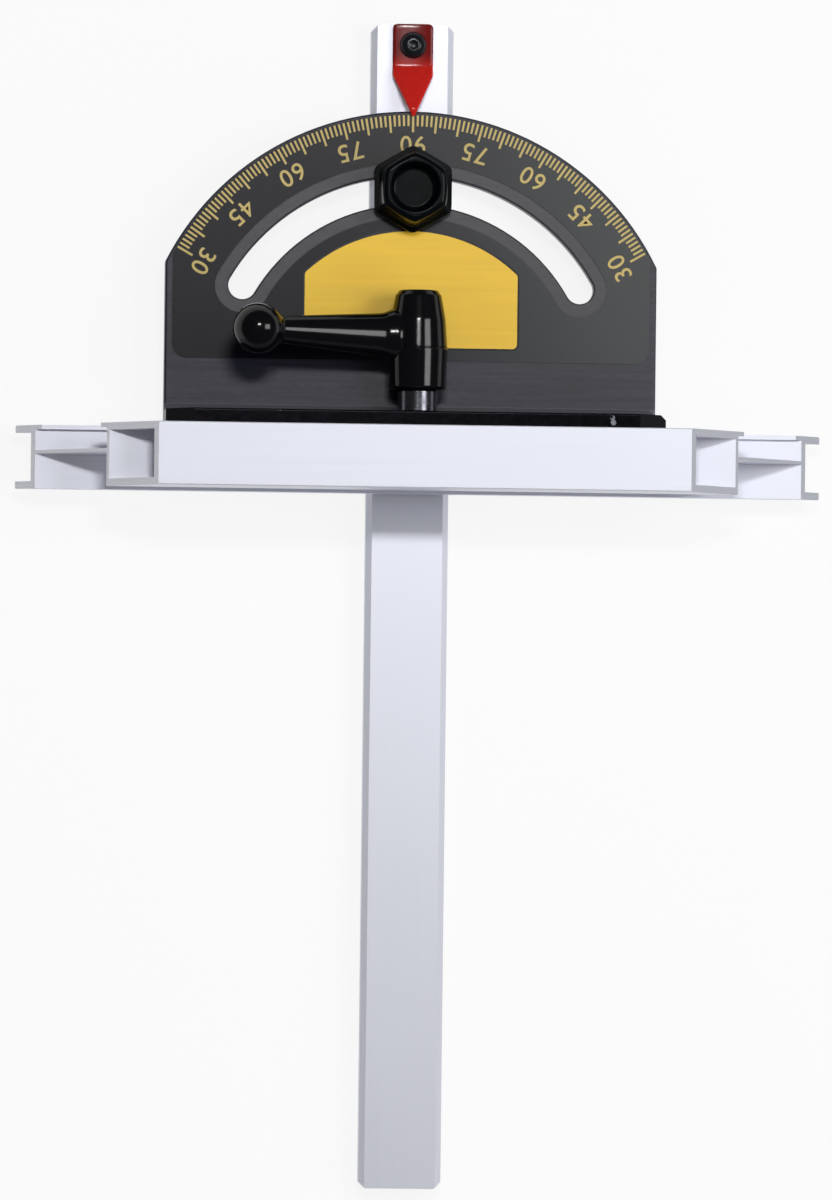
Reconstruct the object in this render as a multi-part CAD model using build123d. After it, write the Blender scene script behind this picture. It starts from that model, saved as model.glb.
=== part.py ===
from build123d import *
import math
import os

# The mitre gauge lies along Y: +Y to the rear end with the pointer, +X to the right, +Z up.
# The origin is on the underside of the guide bar, on the axis of the pivot. All sizes are in millimetres.

# Guide bar
BAR_WIDTH = 30.0
BAR_THICKNESS = 10.0
BAR_REAR_OVERHANG = 32.4
BAR_FRONT_LENGTH = 293.0
BAR_EDGE_CHAMFER = 2.1
BAR_CORNER_CHAMFER = 2.6
BAR_LOWER_CHAMFER = 0.8

# Clearances
FIXED_FIT = 0.03
TURNING_FIT = 0.05
SLIDING_GAP = 0.25

# Quadrant head, a casting with a ribbed underside
HEAD_RADIUS = 100.0
HEAD_SHOULDER_ANGLE = 26.1
HEAD_DEPTH = 7.0
HEAD_SKIN = 4.0
HEAD_RIM = 3.2
HEAD_RIB = 2.4
HEAD_RIB_ANGLES = (12, 40, 65, 115, 140, 168)
HEAD_EDGE_RADIUS = 0.8
HEAD_CORNER_RADIUS = 2.0
SLOT_INSET = 28.8
SLOT_WIDTH = 10.2
SLOT_HALF_ANGLE = 60.0

# Flange that stands at the front of the head and carries the fence
FENCE_STANDOFF = 16.6
FLANGE_THICKNESS = 5.8
FLANGE_HEIGHT = 28.6
FLANGE_CORNER = 10.0
FLANGE_EDGE_RADIUS = 0.7
FLANGE_ROOT = 2.8
FLANGE_RIGHT_REACH = 2.6
FLANGE_END_TAPER = 1.8
FLANGE_END_TAPER_LENGTH = 5.0
GUIDE_RIB_LENGTH = 160.0
GUIDE_RIB_RELIEF = 0.2

# Pivot
PIVOT_SHOULDER_RADIUS = 4.0
PIVOT_THREAD_RADIUS = 3.0
PIVOT_THREAD_LENGTH = 7.0
PIVOT_HEAD_RADIUS = 7.4
PIVOT_HEAD_THICKNESS = 2.2
PIVOT_HEAD_RECESS = 2.6
PIVOT_SOCKET_FLATS = 5.0
PIVOT_SOCKET_DEPTH = 1.5
PIVOT_BOSS_RADIUS = 12.5
PIVOT_BUSH_WALL = 2.0
PIVOT_WASHER_RADIUS = 12.0
PIVOT_WASHER_THICKNESS = 0.4
PIVOT_END_PLAY = 0.05

# Printed scale and panel on the head
DECAL_THICKNESS = 0.3
DECAL_MARGIN = 1.0
DECAL_SIDE_MARGIN = 2.6
DECAL_FRONT = 8.8
DECAL_CORNER_RADIUS = 5.5
DECAL_SLOT_MARGIN = 4.9
PANEL_SHOULDER_ANGLE = 46.05
PANEL_INSET = 15.0
PANEL_FRONT = 13.5
PANEL_CORNER_RADIUS = 1.8
PANEL_GAP = 0.05

# Swivel clamp: stud, washer and hexagonal knob
STUD_RADIUS = 4.0
STUD_HEAD_RADIUS = 6.5
STUD_HEAD_THICKNESS = 3.2
STUD_HEAD_INSET = 0.4
STUD_HEAD_CLEARANCE = 0.2
STUD_TOP_BELOW_RECESS = 2.4
WASHER_RADIUS = 9.6
WASHER_THICKNESS = 1.6
WASHER_GAP = 0.1
KNOB_HEIGHT = 18.4
KNOB_BASE_FLATS = 28.4
KNOB_BASE_HEIGHT = 5.6
KNOB_GRIP_FLATS = 24.4
KNOB_GRIP_TAPER = 2.0
KNOB_SEAT_RADIUS = 9.4
KNOB_SEAT_HEIGHT = 1.2
KNOB_EDGE = 0.9
KNOB_CORNER_RADIUS = 4.0
KNOB_RECESS_RADIUS = 8.8
KNOB_RECESS_DEPTH = 8.0
KNOB_INSERT_RADIUS = 6.2
KNOB_INSERT_FLANGE = 1.2
KNOB_RECESS_WALL = 1.6

# Pointer
POINTER_WIDTH = 14.8
POINTER_THICKNESS = 2.2
POINTER_CORNER_RADIUS = 1.5
POINTER_SEAT_LENGTH = 16.1
POINTER_STRAIGHT_LENGTH = 19.0
POINTER_OVERLAP = 1.8
POINTER_TIP_WIDTH = 1.0
POINTER_TIP_FLAT = 2.6
POINTER_SCALE_GAP = 0.4
POINTER_SCREW_INSET = 7.8
POINTER_SCREW_RADIUS = 2.5
POINTER_SCREW_LENGTH = 7.5
POINTER_SCREW_HEAD_RADIUS = 4.9
POINTER_SCREW_HEAD_HEIGHT = 2.8
POINTER_SCREW_SOCKET = 3.0
POINTER_SCREW_SOCKET_DEPTH = 1.6

# Fence extrusion, sawn at 45 degrees across both ends
FENCE_LENGTH = 294.0
FENCE_HEIGHT = 50.3
FENCE_DEPTH = 23.1
FENCE_LIFT = 0.8
FENCE_OFFSET = 3.5
FENCE_END_ANGLE = 45.0
FENCE_UPPER_HEIGHT = 18.2
FENCE_LOWER_HEIGHT = 7.0
FENCE_TOP_WALL = 1.6
FENCE_SIDE_WALL = 2.7
FENCE_INNER_WEB = 0.9
FENCE_LOWER_WEB = 1.5
FENCE_GROOVE_DEPTH = 9.2
FENCE_LIP = 1.6
FENCE_LIP_HEIGHT = 2.2
FENCE_STEM = 1.3
FENCE_EDGE_RADIUS = 0.5

# Fence clamp: slot nut, stud and the ratchet lever
NUT_LENGTH = 30.0
NUT_HEIGHT = 23.6
NUT_THICKNESS = 5.8
NUT_EDGE = 0.6
LEVER_OFFSET = 2.0
LEVER_LENGTH = 62.2
LEVER_RISE = 18.0
LEVER_BALL_RADIUS = 9.25
LEVER_BALL_FROM_PIVOT = 18.1
LEVER_ARM_FROM_PIVOT = 16.8
LEVER_ARM_ROOT_WIDTH = 18.2
LEVER_ARM_ROOT_HEIGHT = 12.0
LEVER_ARM_TIP_RADIUS = 4.3
HUB_LENGTH = 36.4
HUB_FOOT_RADIUS = 10.4
HUB_WAIST_RADIUS = 10.9
HUB_SHOULDER_RADIUS = 10.0
HUB_END_RADIUS = 8.2
HUB_SKIRT_LENGTH = 15.2
HUB_SKIRT_STEP = 0.3
HUB_DOME = 2.4
COLLAR_RADIUS = 7.15
COLLAR_LENGTH = 8.2
FLANGE_HOLE_CLEARANCE = 0.5
SERRATION_COUNT = 20
SERRATION_ROOT_RADIUS = 5.8
SERRATION_DEPTH = 0.8
SERRATION_LENGTH = 4.0
SERRATION_GAP = 0.1
SERRATION_START = 5.0
SERRATION_RUNOUT = 2.0
LEVER_WEB = 3.0
LEVER_SCREW_RADIUS = 2.5
LEVER_SCREW_HEAD_RADIUS = 4.3
LEVER_SCREW_HEAD_HEIGHT = 4.5
LEVER_SCREW_SOCKET = 4.0
LEVER_SCREW_SOCKET_DEPTH = 2.4
LEVER_SCREW_HOLE_CLEARANCE = 0.3
LEVER_POCKET_RADIUS = 5.1
SPRING_RADIUS = 3.8
SPRING_WIRE_RADIUS = 0.4
SPRING_TURNS = 4
SPRING_LENGTH = 8.0

# Levels and places worked out from the sizes above
HEAD_HALF_WIDTH = HEAD_RADIUS * math.cos(math.radians(HEAD_SHOULDER_ANGLE))
SLOT_RADIUS = HEAD_RADIUS - SLOT_INSET
PANEL_RADIUS = SLOT_RADIUS - PANEL_INSET
PANEL_HALF_WIDTH = PANEL_RADIUS * math.cos(math.radians(PANEL_SHOULDER_ANGLE))
BAR_REAR_LENGTH = HEAD_RADIUS + BAR_REAR_OVERHANG
POINTER_FOLD = BAR_REAR_LENGTH - POINTER_SEAT_LENGTH
POINTER_SHOULDER = BAR_REAR_LENGTH - POINTER_STRAIGHT_LENGTH
POINTER_TIP = HEAD_RADIUS - POINTER_OVERLAP
POINTER_SCREW_PLACE = BAR_REAR_LENGTH - POINTER_SCREW_INSET
HEAD_BOTTOM = BAR_THICKNESS + PIVOT_WASHER_THICKNESS
HEAD_TOP = HEAD_BOTTOM + HEAD_DEPTH
DECAL_TOP = HEAD_TOP + DECAL_THICKNESS
FLANGE_FRONT = -FENCE_STANDOFF
FLANGE_REAR = FLANGE_FRONT + FLANGE_THICKNESS
FLANGE_TOP = HEAD_TOP + FLANGE_HEIGHT
FLANGE_RIGHT = HEAD_HALF_WIDTH + FLANGE_RIGHT_REACH
FENCE_BOTTOM = BAR_THICKNESS + FENCE_LIFT
FENCE_TOP = FENCE_BOTTOM + FENCE_HEIGHT
FENCE_REAR = FLANGE_FRONT
FENCE_FRONT = FENCE_REAR - FENCE_DEPTH
GROOVE_BOTTOM = FENCE_BOTTOM + FENCE_LOWER_HEIGHT
GROOVE_TOP = FENCE_TOP - FENCE_UPPER_HEIGHT
GROOVE_FLOOR = FENCE_REAR - FENCE_GROOVE_DEPTH
GROOVE_HALF_OPENING = (GROOVE_TOP - GROOVE_BOTTOM) / 2 - FENCE_LIP_HEIGHT
CLAMP_Z = (GROOVE_BOTTOM + GROOVE_TOP) / 2
LIP_INNER = FENCE_REAR - FENCE_LIP
NUT_FRONT = LIP_INNER - NUT_THICKNESS
HUB_FOOT = FLANGE_REAR + COLLAR_LENGTH
SERRATION_PLACE = HUB_FOOT + SERRATION_START
INSERT_END = SERRATION_PLACE + SERRATION_LENGTH
WEB_START = INSERT_END + SERRATION_RUNOUT
WEB_END = WEB_START + LEVER_WEB
LEVER_SCREW_SEAT = WEB_END + SPRING_LENGTH
STUD_HEAD_TOP = STUD_HEAD_INSET + STUD_HEAD_THICKNESS
WASHER_BOTTOM = HEAD_TOP + WASHER_GAP
KNOB_BOTTOM = WASHER_BOTTOM + WASHER_THICKNESS
KNOB_TOP = KNOB_BOTTOM + KNOB_HEIGHT
KNOB_RECESS_FLOOR = KNOB_TOP - KNOB_RECESS_DEPTH
KNOB_INSERT_TOP = KNOB_RECESS_FLOOR - KNOB_RECESS_WALL
STUD_TOP = KNOB_RECESS_FLOOR - STUD_TOP_BELOW_RECESS

ON_BASE = (Align.CENTER, Align.CENTER, Align.MIN)


def block(x0, x1, y0, y1, z0, z1):
    """A box between two corners."""
    return Pos((x0 + x1) / 2, (y0 + y1) / 2, (z0 + z1) / 2) * Box(x1 - x0, y1 - y0, z1 - z0)


def post(radius, z0, z1, x=0.0, y=0.0):
    """An upright cylinder."""
    return Pos(x, y, z0) * Cylinder(radius, z1 - z0, align=ON_BASE)


def spindle(radius, y0, y1):
    """A cylinder on the axis of the fence clamp, which runs along Y."""
    return Pos(LEVER_OFFSET, y0, CLAMP_Z) * Rot(X=-90) * Cylinder(radius, y1 - y0, align=ON_BASE)


def rectangle(x0, x1, y0, y1):
    """A flat rectangle between two corners."""
    return Pos((x0 + x1) / 2, (y0 + y1) / 2) * Rectangle(x1 - x0, y1 - y0)


def lift(sketch, z0, z1):
    """A plan outline raised between two levels."""
    return Pos(0, 0, z0) * extrude(sketch, z1 - z0)


def hexagon(flats):
    """A hexagon with corners to the front and the rear."""
    return RegularPolygon(flats / 2, 6, major_radius=False, rotation=30)


def curved_slot(width):
    """The slot's outline about the pivot, with round ends."""
    line = CenterArc((0, 0), SLOT_RADIUS, 90 - SLOT_HALF_ANGLE, 2 * SLOT_HALF_ANGLE)
    return SlotArc(line, width)


def star(inner_radius, outer_radius):
    """A serrated outline with straight flanks."""
    points = []
    for step in range(2 * SERRATION_COUNT):
        radius = outer_radius if step % 2 else inner_radius
        angle = math.pi * step / SERRATION_COUNT
        points.append((radius * math.cos(angle), radius * math.sin(angle)))
    return Polygon(*points, align=None)


def serrated_spindle(inner_radius, outer_radius, y0, y1):
    """A serrated prism on the clamp axis."""
    prism = extrude(star(inner_radius, outer_radius), y1 - y0)
    return Pos(LEVER_OFFSET, y0, CLAMP_Z) * Rot(X=-90) * prism


def make_guide_bar():
    """Flat bar that slides in the slot of a saw table."""
    half = BAR_WIDTH / 2
    bar = block(-half, half, -BAR_FRONT_LENGTH, BAR_REAR_LENGTH, 0, BAR_THICKNESS)
    bar = chamfer(bar.edges().filter_by(Axis.Z), BAR_CORNER_CHAMFER)
    bar = chamfer(bar.edges().group_by(Axis.Z)[-1].filter_by(Axis.Y), BAR_EDGE_CHAMFER)
    bar = chamfer(bar.edges().group_by(Axis.Z)[0].filter_by(Axis.Y), BAR_LOWER_CHAMFER)
    thread_end = BAR_THICKNESS - PIVOT_THREAD_LENGTH
    bar -= post(PIVOT_THREAD_RADIUS + FIXED_FIT, thread_end, BAR_THICKNESS)
    bar -= post(STUD_RADIUS + FIXED_FIT, 0, BAR_THICKNESS, y=SLOT_RADIUS)
    bar -= post(STUD_HEAD_RADIUS + STUD_HEAD_CLEARANCE, 0, STUD_HEAD_TOP, y=SLOT_RADIUS)
    screw_end = BAR_THICKNESS + POINTER_THICKNESS - POINTER_SCREW_LENGTH
    bar -= post(POINTER_SCREW_RADIUS + FIXED_FIT, screw_end, BAR_THICKNESS, y=POINTER_SCREW_PLACE)
    return bar


def head_outline():
    """Quadrant with straight sides."""
    window = rectangle(-HEAD_HALF_WIDTH, HEAD_HALF_WIDTH, FLANGE_FRONT, HEAD_RADIUS + 1)
    outline = Circle(HEAD_RADIUS) & window
    corners = outline.vertices().filter_by(lambda v: v.Y > 0)
    return fillet(corners, HEAD_CORNER_RADIUS)


def head_pockets():
    """Hollows between the ribs under the head."""
    reach = HEAD_RADIUS - HEAD_RIM
    half = HEAD_HALF_WIDTH - HEAD_RIM
    pockets = Circle(reach) & rectangle(-half, half, FLANGE_REAR + FLANGE_ROOT, reach)
    pockets -= curved_slot(SLOT_WIDTH + 2 * HEAD_RIM)
    pockets -= Circle(PIVOT_BOSS_RADIUS)
    for angle in HEAD_RIB_ANGLES:
        pockets -= Rot(Z=angle) * Pos(HEAD_RADIUS / 2, 0) * Rectangle(HEAD_RADIUS, HEAD_RIB)
    return pockets


def make_flange():
    """Upright flange with a sloping cast root, longer than the head on the right."""
    profile = rectangle(FLANGE_FRONT, FLANGE_REAR, HEAD_BOTTOM, FLANGE_TOP)
    profile = fillet(profile.vertices().filter_by(lambda v: v.Y > HEAD_TOP), FLANGE_EDGE_RADIUS)
    profile += Polygon(
        (FLANGE_REAR, HEAD_BOTTOM),
        (FLANGE_REAR + FLANGE_ROOT, HEAD_BOTTOM),
        (FLANGE_REAR + FLANGE_ROOT, HEAD_TOP),
        (FLANGE_REAR, HEAD_TOP + FLANGE_ROOT),
        align=None,
    )
    width = HEAD_HALF_WIDTH + FLANGE_RIGHT
    flange = extrude(Plane.YZ.offset(-HEAD_HALF_WIDTH) * profile, width)
    shoulder = FLANGE_TOP - FLANGE_CORNER
    face = Polygon(
        (-HEAD_HALF_WIDTH, 0),
        (FLANGE_RIGHT, 0),
        (FLANGE_RIGHT, shoulder),
        (FLANGE_RIGHT - FLANGE_CORNER, FLANGE_TOP),
        (FLANGE_CORNER - HEAD_HALF_WIDTH, FLANGE_TOP),
        (-HEAD_HALF_WIDTH, shoulder),
        align=None,
    )
    plan = Polygon(
        (-HEAD_HALF_WIDTH, FLANGE_FRONT),
        (FLANGE_RIGHT, FLANGE_FRONT),
        (FLANGE_RIGHT, FLANGE_REAR - FLANGE_END_TAPER),
        (FLANGE_RIGHT - FLANGE_END_TAPER_LENGTH, FLANGE_REAR + FLANGE_ROOT),
        (-HEAD_HALF_WIDTH, FLANGE_REAR + FLANGE_ROOT),
        align=None,
    )
    flange &= extrude(Plane.XZ.offset(-HEAD_RADIUS) * face, 2 * HEAD_RADIUS)
    return flange & lift(plan, HEAD_BOTTOM, FLANGE_TOP)


def make_quadrant_head():
    """Cast head: slotted quadrant, ribs below, flange and guide rib in front."""
    plate = lift(head_outline(), HEAD_BOTTOM, HEAD_TOP)
    plate -= lift(curved_slot(SLOT_WIDTH), HEAD_BOTTOM, HEAD_TOP)
    rims = plate.edges().group_by(Axis.Z)[-1].filter_by(lambda e: e.center().Y > 0)
    plate = fillet(rims, HEAD_EDGE_RADIUS)
    plate -= lift(head_pockets(), HEAD_BOTTOM, HEAD_TOP - HEAD_SKIN)
    head = plate + make_flange()
    rib_half = GROOVE_HALF_OPENING - SLIDING_GAP
    rib_x = GUIDE_RIB_LENGTH / 2
    rib_front = LIP_INNER + GUIDE_RIB_RELIEF
    head += block(-rib_x, rib_x, rib_front, FLANGE_FRONT, CLAMP_Z - rib_half, CLAMP_Z + rib_half)
    head -= spindle(STUD_RADIUS + FLANGE_HOLE_CLEARANCE, rib_front, FLANGE_REAR)
    bush_radius = PIVOT_SHOULDER_RADIUS + TURNING_FIT + PIVOT_BUSH_WALL
    head -= post(bush_radius + FIXED_FIT, HEAD_BOTTOM, HEAD_TOP)
    head -= post(PIVOT_HEAD_RADIUS + SLIDING_GAP, HEAD_TOP - PIVOT_HEAD_RECESS, HEAD_TOP)
    return head


def make_pivot_bush():
    """Plain bush pressed into the head round the pivot screw."""
    bore = PIVOT_SHOULDER_RADIUS + TURNING_FIT
    top = HEAD_TOP - PIVOT_HEAD_RECESS
    return post(bore + PIVOT_BUSH_WALL, HEAD_BOTTOM, top) - post(bore, HEAD_BOTTOM, top)


def make_pivot_washer():
    """Thin slip washer between the bar and the head."""
    disc = post(PIVOT_WASHER_RADIUS, BAR_THICKNESS, HEAD_BOTTOM)
    return disc - post(PIVOT_SHOULDER_RADIUS + SLIDING_GAP, BAR_THICKNESS, HEAD_BOTTOM)


def make_pivot_screw():
    """Low-headed shoulder screw, let into the head and screwed into the bar."""
    seat = HEAD_TOP - PIVOT_HEAD_RECESS + PIVOT_END_PLAY
    top = seat + PIVOT_HEAD_THICKNESS
    screw = post(PIVOT_THREAD_RADIUS, BAR_THICKNESS - PIVOT_THREAD_LENGTH, BAR_THICKNESS)
    screw += post(PIVOT_SHOULDER_RADIUS, BAR_THICKNESS, seat)
    screw += post(PIVOT_HEAD_RADIUS, seat, top)
    return screw - lift(hexagon(PIVOT_SOCKET_FLATS), top - PIVOT_SOCKET_DEPTH, top)


def panel_outline(grow):
    """Panel with an arched top, grown or shrunk all round."""
    half = PANEL_HALF_WIDTH + grow
    radius = PANEL_RADIUS + grow
    outline = Circle(radius) & rectangle(-half, half, PANEL_FRONT - grow, radius)
    return fillet(outline.vertices(), PANEL_CORNER_RADIUS + grow)


def make_scale_decal():
    """Dark printed plate with cut-outs for the slot and the panel."""
    reach = HEAD_RADIUS - DECAL_MARGIN
    half = HEAD_HALF_WIDTH - DECAL_SIDE_MARGIN
    outline = Circle(reach) & rectangle(-half, half, DECAL_FRONT, reach)
    corners = outline.vertices().filter_by(lambda v: v.Y < DECAL_FRONT + 1)
    outline = fillet(corners, DECAL_CORNER_RADIUS)
    outline -= curved_slot(SLOT_WIDTH + 2 * DECAL_SLOT_MARGIN)
    outline -= panel_outline(PANEL_GAP)
    return lift(outline, HEAD_TOP, DECAL_TOP)


def make_yellow_panel():
    """Plain yellow panel set into the dark plate."""
    return lift(panel_outline(0), HEAD_TOP, DECAL_TOP)


def make_clamp_stud():
    """Stud with a round head let into the underside of the bar."""
    head = post(STUD_HEAD_RADIUS, STUD_HEAD_INSET, STUD_HEAD_TOP, y=SLOT_RADIUS)
    return head + post(STUD_RADIUS, STUD_HEAD_TOP, STUD_TOP, y=SLOT_RADIUS)


def make_clamp_washer():
    """Washer that bears on the bare metal on both sides of the slot."""
    disc = post(WASHER_RADIUS, WASHER_BOTTOM, KNOB_BOTTOM, y=SLOT_RADIUS)
    bore = STUD_RADIUS + TURNING_FIT
    disc = chamfer(disc.edges().group_by(Axis.Z)[-1], WASHER_THICKNESS / 4)
    return disc - post(bore, WASHER_BOTTOM, KNOB_BOTTOM, y=SLOT_RADIUS)


def insert_solid(grow):
    """Outside of the threaded insert, which is also the hollow it is moulded into."""
    flange_top = KNOB_BOTTOM + KNOB_INSERT_FLANGE + grow
    solid = post(KNOB_INSERT_RADIUS + KNOB_INSERT_FLANGE + grow, KNOB_BOTTOM, flange_top)
    return solid + post(KNOB_INSERT_RADIUS + grow, KNOB_BOTTOM, KNOB_INSERT_TOP)


def soft_hexagon(flats):
    """A hexagon with round corners."""
    outline = hexagon(flats)
    return fillet(outline.vertices(), KNOB_CORNER_RADIUS)


def make_clamp_knob():
    """Hexagonal knob with a wider foot and a round recess in its top."""
    foot_bottom = KNOB_BOTTOM + KNOB_SEAT_HEIGHT
    foot_top = KNOB_BOTTOM + KNOB_BASE_HEIGHT
    foot = lift(soft_hexagon(KNOB_BASE_FLATS), foot_bottom, foot_top)
    foot = chamfer(foot.edges().group_by(Axis.Z)[-1], KNOB_EDGE * 2)
    grip_height = KNOB_TOP - foot_top
    grip = extrude(soft_hexagon(KNOB_GRIP_FLATS), grip_height, taper=KNOB_GRIP_TAPER)
    grip = Pos(0, 0, foot_top) * grip
    grip = fillet(grip.edges().group_by(Axis.Z)[-1], KNOB_EDGE)
    knob = foot + grip + post(KNOB_SEAT_RADIUS, KNOB_BOTTOM, foot_bottom)
    knob -= post(KNOB_RECESS_RADIUS, KNOB_RECESS_FLOOR, KNOB_TOP)
    knob -= insert_solid(FIXED_FIT)
    return Pos(0, SLOT_RADIUS, 0) * knob


def make_knob_insert():
    """Threaded metal insert moulded into the knob."""
    bore = post(STUD_RADIUS + TURNING_FIT, KNOB_BOTTOM, KNOB_INSERT_TOP)
    return Pos(0, SLOT_RADIUS, 0) * (insert_solid(0) - bore)


def make_pointer():
    """Pointer that lies on the bar, then rises and reaches over the edge of the scale."""
    half = POINTER_WIDTH / 2
    low = BAR_THICKNESS
    high = DECAL_TOP + POINTER_SCALE_GAP
    flat = POINTER_TIP + POINTER_TIP_FLAT
    lean = POINTER_THICKNESS * math.tan(math.atan2(high - low, POINTER_FOLD - flat) / 2)
    side = Polygon(
        (BAR_REAR_LENGTH, low),
        (BAR_REAR_LENGTH, low + POINTER_THICKNESS),
        (POINTER_FOLD + lean, low + POINTER_THICKNESS),
        (flat + lean, high + POINTER_THICKNESS),
        (POINTER_TIP, high + POINTER_THICKNESS / 2),
        (POINTER_TIP, high),
        (flat, high),
        (POINTER_FOLD, low),
        align=None,
    )
    strip = extrude(Plane.YZ.offset(-half) * side, POINTER_WIDTH)
    plan = Polygon(
        (half, BAR_REAR_LENGTH),
        (-half, BAR_REAR_LENGTH),
        (-half, POINTER_SHOULDER),
        (-POINTER_TIP_WIDTH / 2, POINTER_TIP),
        (POINTER_TIP_WIDTH / 2, POINTER_TIP),
        (half, POINTER_SHOULDER),
        align=None,
    )
    plan = fillet(plan.vertices().group_by(Axis.Y)[-1], POINTER_CORNER_RADIUS)
    hole = POINTER_SCREW_RADIUS + SLIDING_GAP
    top = high + POINTER_THICKNESS
    strip &= lift(plan, 0, top)
    return strip - post(hole, 0, top, y=POINTER_SCREW_PLACE)


def make_pointer_screw():
    """Button-headed screw with a hexagonal socket."""
    seat = BAR_THICKNESS + POINTER_THICKNESS
    top = seat + POINTER_SCREW_HEAD_HEIGHT
    head = post(POINTER_SCREW_HEAD_RADIUS, seat, top)
    head = fillet(head.edges().group_by(Axis.Z)[-1], POINTER_SCREW_HEAD_HEIGHT * 0.8)
    screw = head + post(POINTER_SCREW_RADIUS, seat - POINTER_SCREW_LENGTH, seat)
    screw -= lift(hexagon(POINTER_SCREW_SOCKET), top - POINTER_SCREW_SOCKET_DEPTH, top)
    return Pos(0, POINTER_SCREW_PLACE, 0) * screw


def fence_section():
    """Section of the extrusion: closed box above, stem between two grooves, open channel below."""
    section = rectangle(FENCE_FRONT, FENCE_REAR, FENCE_BOTTOM, FENCE_TOP)
    section = fillet(section.vertices(), FENCE_EDGE_RADIUS)
    inner_front = FENCE_FRONT + FENCE_SIDE_WALL
    inner_rear = FENCE_REAR - FENCE_SIDE_WALL
    box_floor = GROOVE_TOP + FENCE_INNER_WEB
    section -= rectangle(inner_front, inner_rear, box_floor, FENCE_TOP - FENCE_TOP_WALL)
    section -= rectangle(inner_front, inner_rear, FENCE_BOTTOM, GROOVE_BOTTOM - FENCE_LOWER_WEB)
    section -= rectangle(GROOVE_FLOOR, LIP_INNER, GROOVE_BOTTOM, GROOVE_TOP)
    opening_bottom = CLAMP_Z - GROOVE_HALF_OPENING
    opening_top = CLAMP_Z + GROOVE_HALF_OPENING
    section -= rectangle(LIP_INNER, FENCE_REAR, opening_bottom, opening_top)
    stem_front = GROOVE_FLOOR - FENCE_STEM
    return section - rectangle(FENCE_FRONT, stem_front, GROOVE_BOTTOM, GROOVE_TOP)


def make_fence_extrusion():
    """Fence sawn so that it is longest along the table."""
    half = FENCE_LENGTH / 2
    run = FENCE_HEIGHT / math.tan(math.radians(FENCE_END_ANGLE))
    bar = extrude(Plane.YZ.offset(-half) * fence_section(), FENCE_LENGTH)
    face = Polygon(
        (-half, FENCE_BOTTOM),
        (half, FENCE_BOTTOM),
        (half - run, FENCE_TOP),
        (run - half, FENCE_TOP),
        align=None,
    )
    bar &= extrude(Plane.XZ.offset(-FENCE_REAR) * face, FENCE_DEPTH)
    return Pos(FENCE_OFFSET, 0, 0) * bar


def make_slot_nut():
    """Oblong nut that sits behind the lips of the groove."""
    half = NUT_LENGTH / 2
    low = CLAMP_Z - NUT_HEIGHT / 2
    nut = block(LEVER_OFFSET - half, LEVER_OFFSET + half, NUT_FRONT, LIP_INNER, low, low + NUT_HEIGHT)
    nut = chamfer(nut.edges().filter_by(Axis.Y), NUT_EDGE)
    return nut - spindle(STUD_RADIUS + TURNING_FIT, NUT_FRONT, LIP_INNER)


def make_lever_stud():
    """Threaded stud from the slot nut into the insert of the lever."""
    return spindle(STUD_RADIUS, NUT_FRONT, HUB_FOOT - COLLAR_LENGTH / 8)


def make_lever_insert():
    """Steel insert: collar on the flange, then the outer serrations inside the hub."""
    tip = SERRATION_ROOT_RADIUS + SERRATION_DEPTH
    insert = spindle(COLLAR_RADIUS, FLANGE_REAR, HUB_FOOT)
    insert = chamfer(insert.edges(), NUT_EDGE)
    insert += spindle(SERRATION_ROOT_RADIUS, HUB_FOOT, SERRATION_PLACE)
    insert += serrated_spindle(SERRATION_ROOT_RADIUS, tip, SERRATION_PLACE, INSERT_END)
    stud_end = HUB_FOOT - COLLAR_LENGTH / 8
    insert -= spindle(STUD_RADIUS + FIXED_FIT, FLANGE_REAR, stud_end)
    return insert - spindle(LEVER_SCREW_RADIUS + FIXED_FIT, HUB_FOOT, INSERT_END)


def make_lever_screw():
    """Screw that holds the handle and its spring on the insert."""
    head_end = LEVER_SCREW_SEAT + LEVER_SCREW_HEAD_HEIGHT
    screw = spindle(LEVER_SCREW_RADIUS, HUB_FOOT, LEVER_SCREW_SEAT)
    screw += spindle(LEVER_SCREW_HEAD_RADIUS, LEVER_SCREW_SEAT, head_end)
    socket = extrude(hexagon(LEVER_SCREW_SOCKET), LEVER_SCREW_SOCKET_DEPTH)
    start = head_end - LEVER_SCREW_SOCKET_DEPTH
    return screw - Pos(LEVER_OFFSET, start, CLAMP_Z) * Rot(X=-90) * socket


def make_lever_spring():
    """Coil spring that pushes the handle back into the serrations."""
    rise = SPRING_LENGTH - 2 * SPRING_WIRE_RADIUS - 2 * FIXED_FIT
    path = Helix(pitch=rise / SPRING_TURNS, height=rise, radius=SPRING_RADIUS)
    wire = Plane(origin=path @ 0, z_dir=path % 0) * Circle(SPRING_WIRE_RADIUS)
    coil = sweep(wire, path=path, is_frenet=True)
    start = WEB_END + SPRING_WIRE_RADIUS + FIXED_FIT
    return Pos(LEVER_OFFSET, start, CLAMP_Z) * Rot(X=-90) * coil


def hub_body():
    """Turned outside of the hub, a skirt and a tapering barrel with a domed end."""
    skirt_end = HUB_FOOT + HUB_SKIRT_LENGTH
    hub_end = HUB_FOOT + HUB_LENGTH
    shoulder = (skirt_end + hub_end) / 2
    profile = Polygon(
        (0, HUB_FOOT),
        (HUB_FOOT_RADIUS, HUB_FOOT),
        (HUB_WAIST_RADIUS, skirt_end),
        (HUB_WAIST_RADIUS - HUB_SKIRT_STEP, skirt_end),
        (HUB_SHOULDER_RADIUS, shoulder),
        (HUB_END_RADIUS, hub_end),
        (0, hub_end),
        align=None,
    )
    rim = profile.vertices().filter_by(lambda v: v.Y > hub_end - 0.1 and v.X > 1)
    profile = fillet(rim, HUB_DOME)
    return Pos(LEVER_OFFSET, 0, CLAMP_Z) * revolve(profile, Axis.Y)


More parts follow.
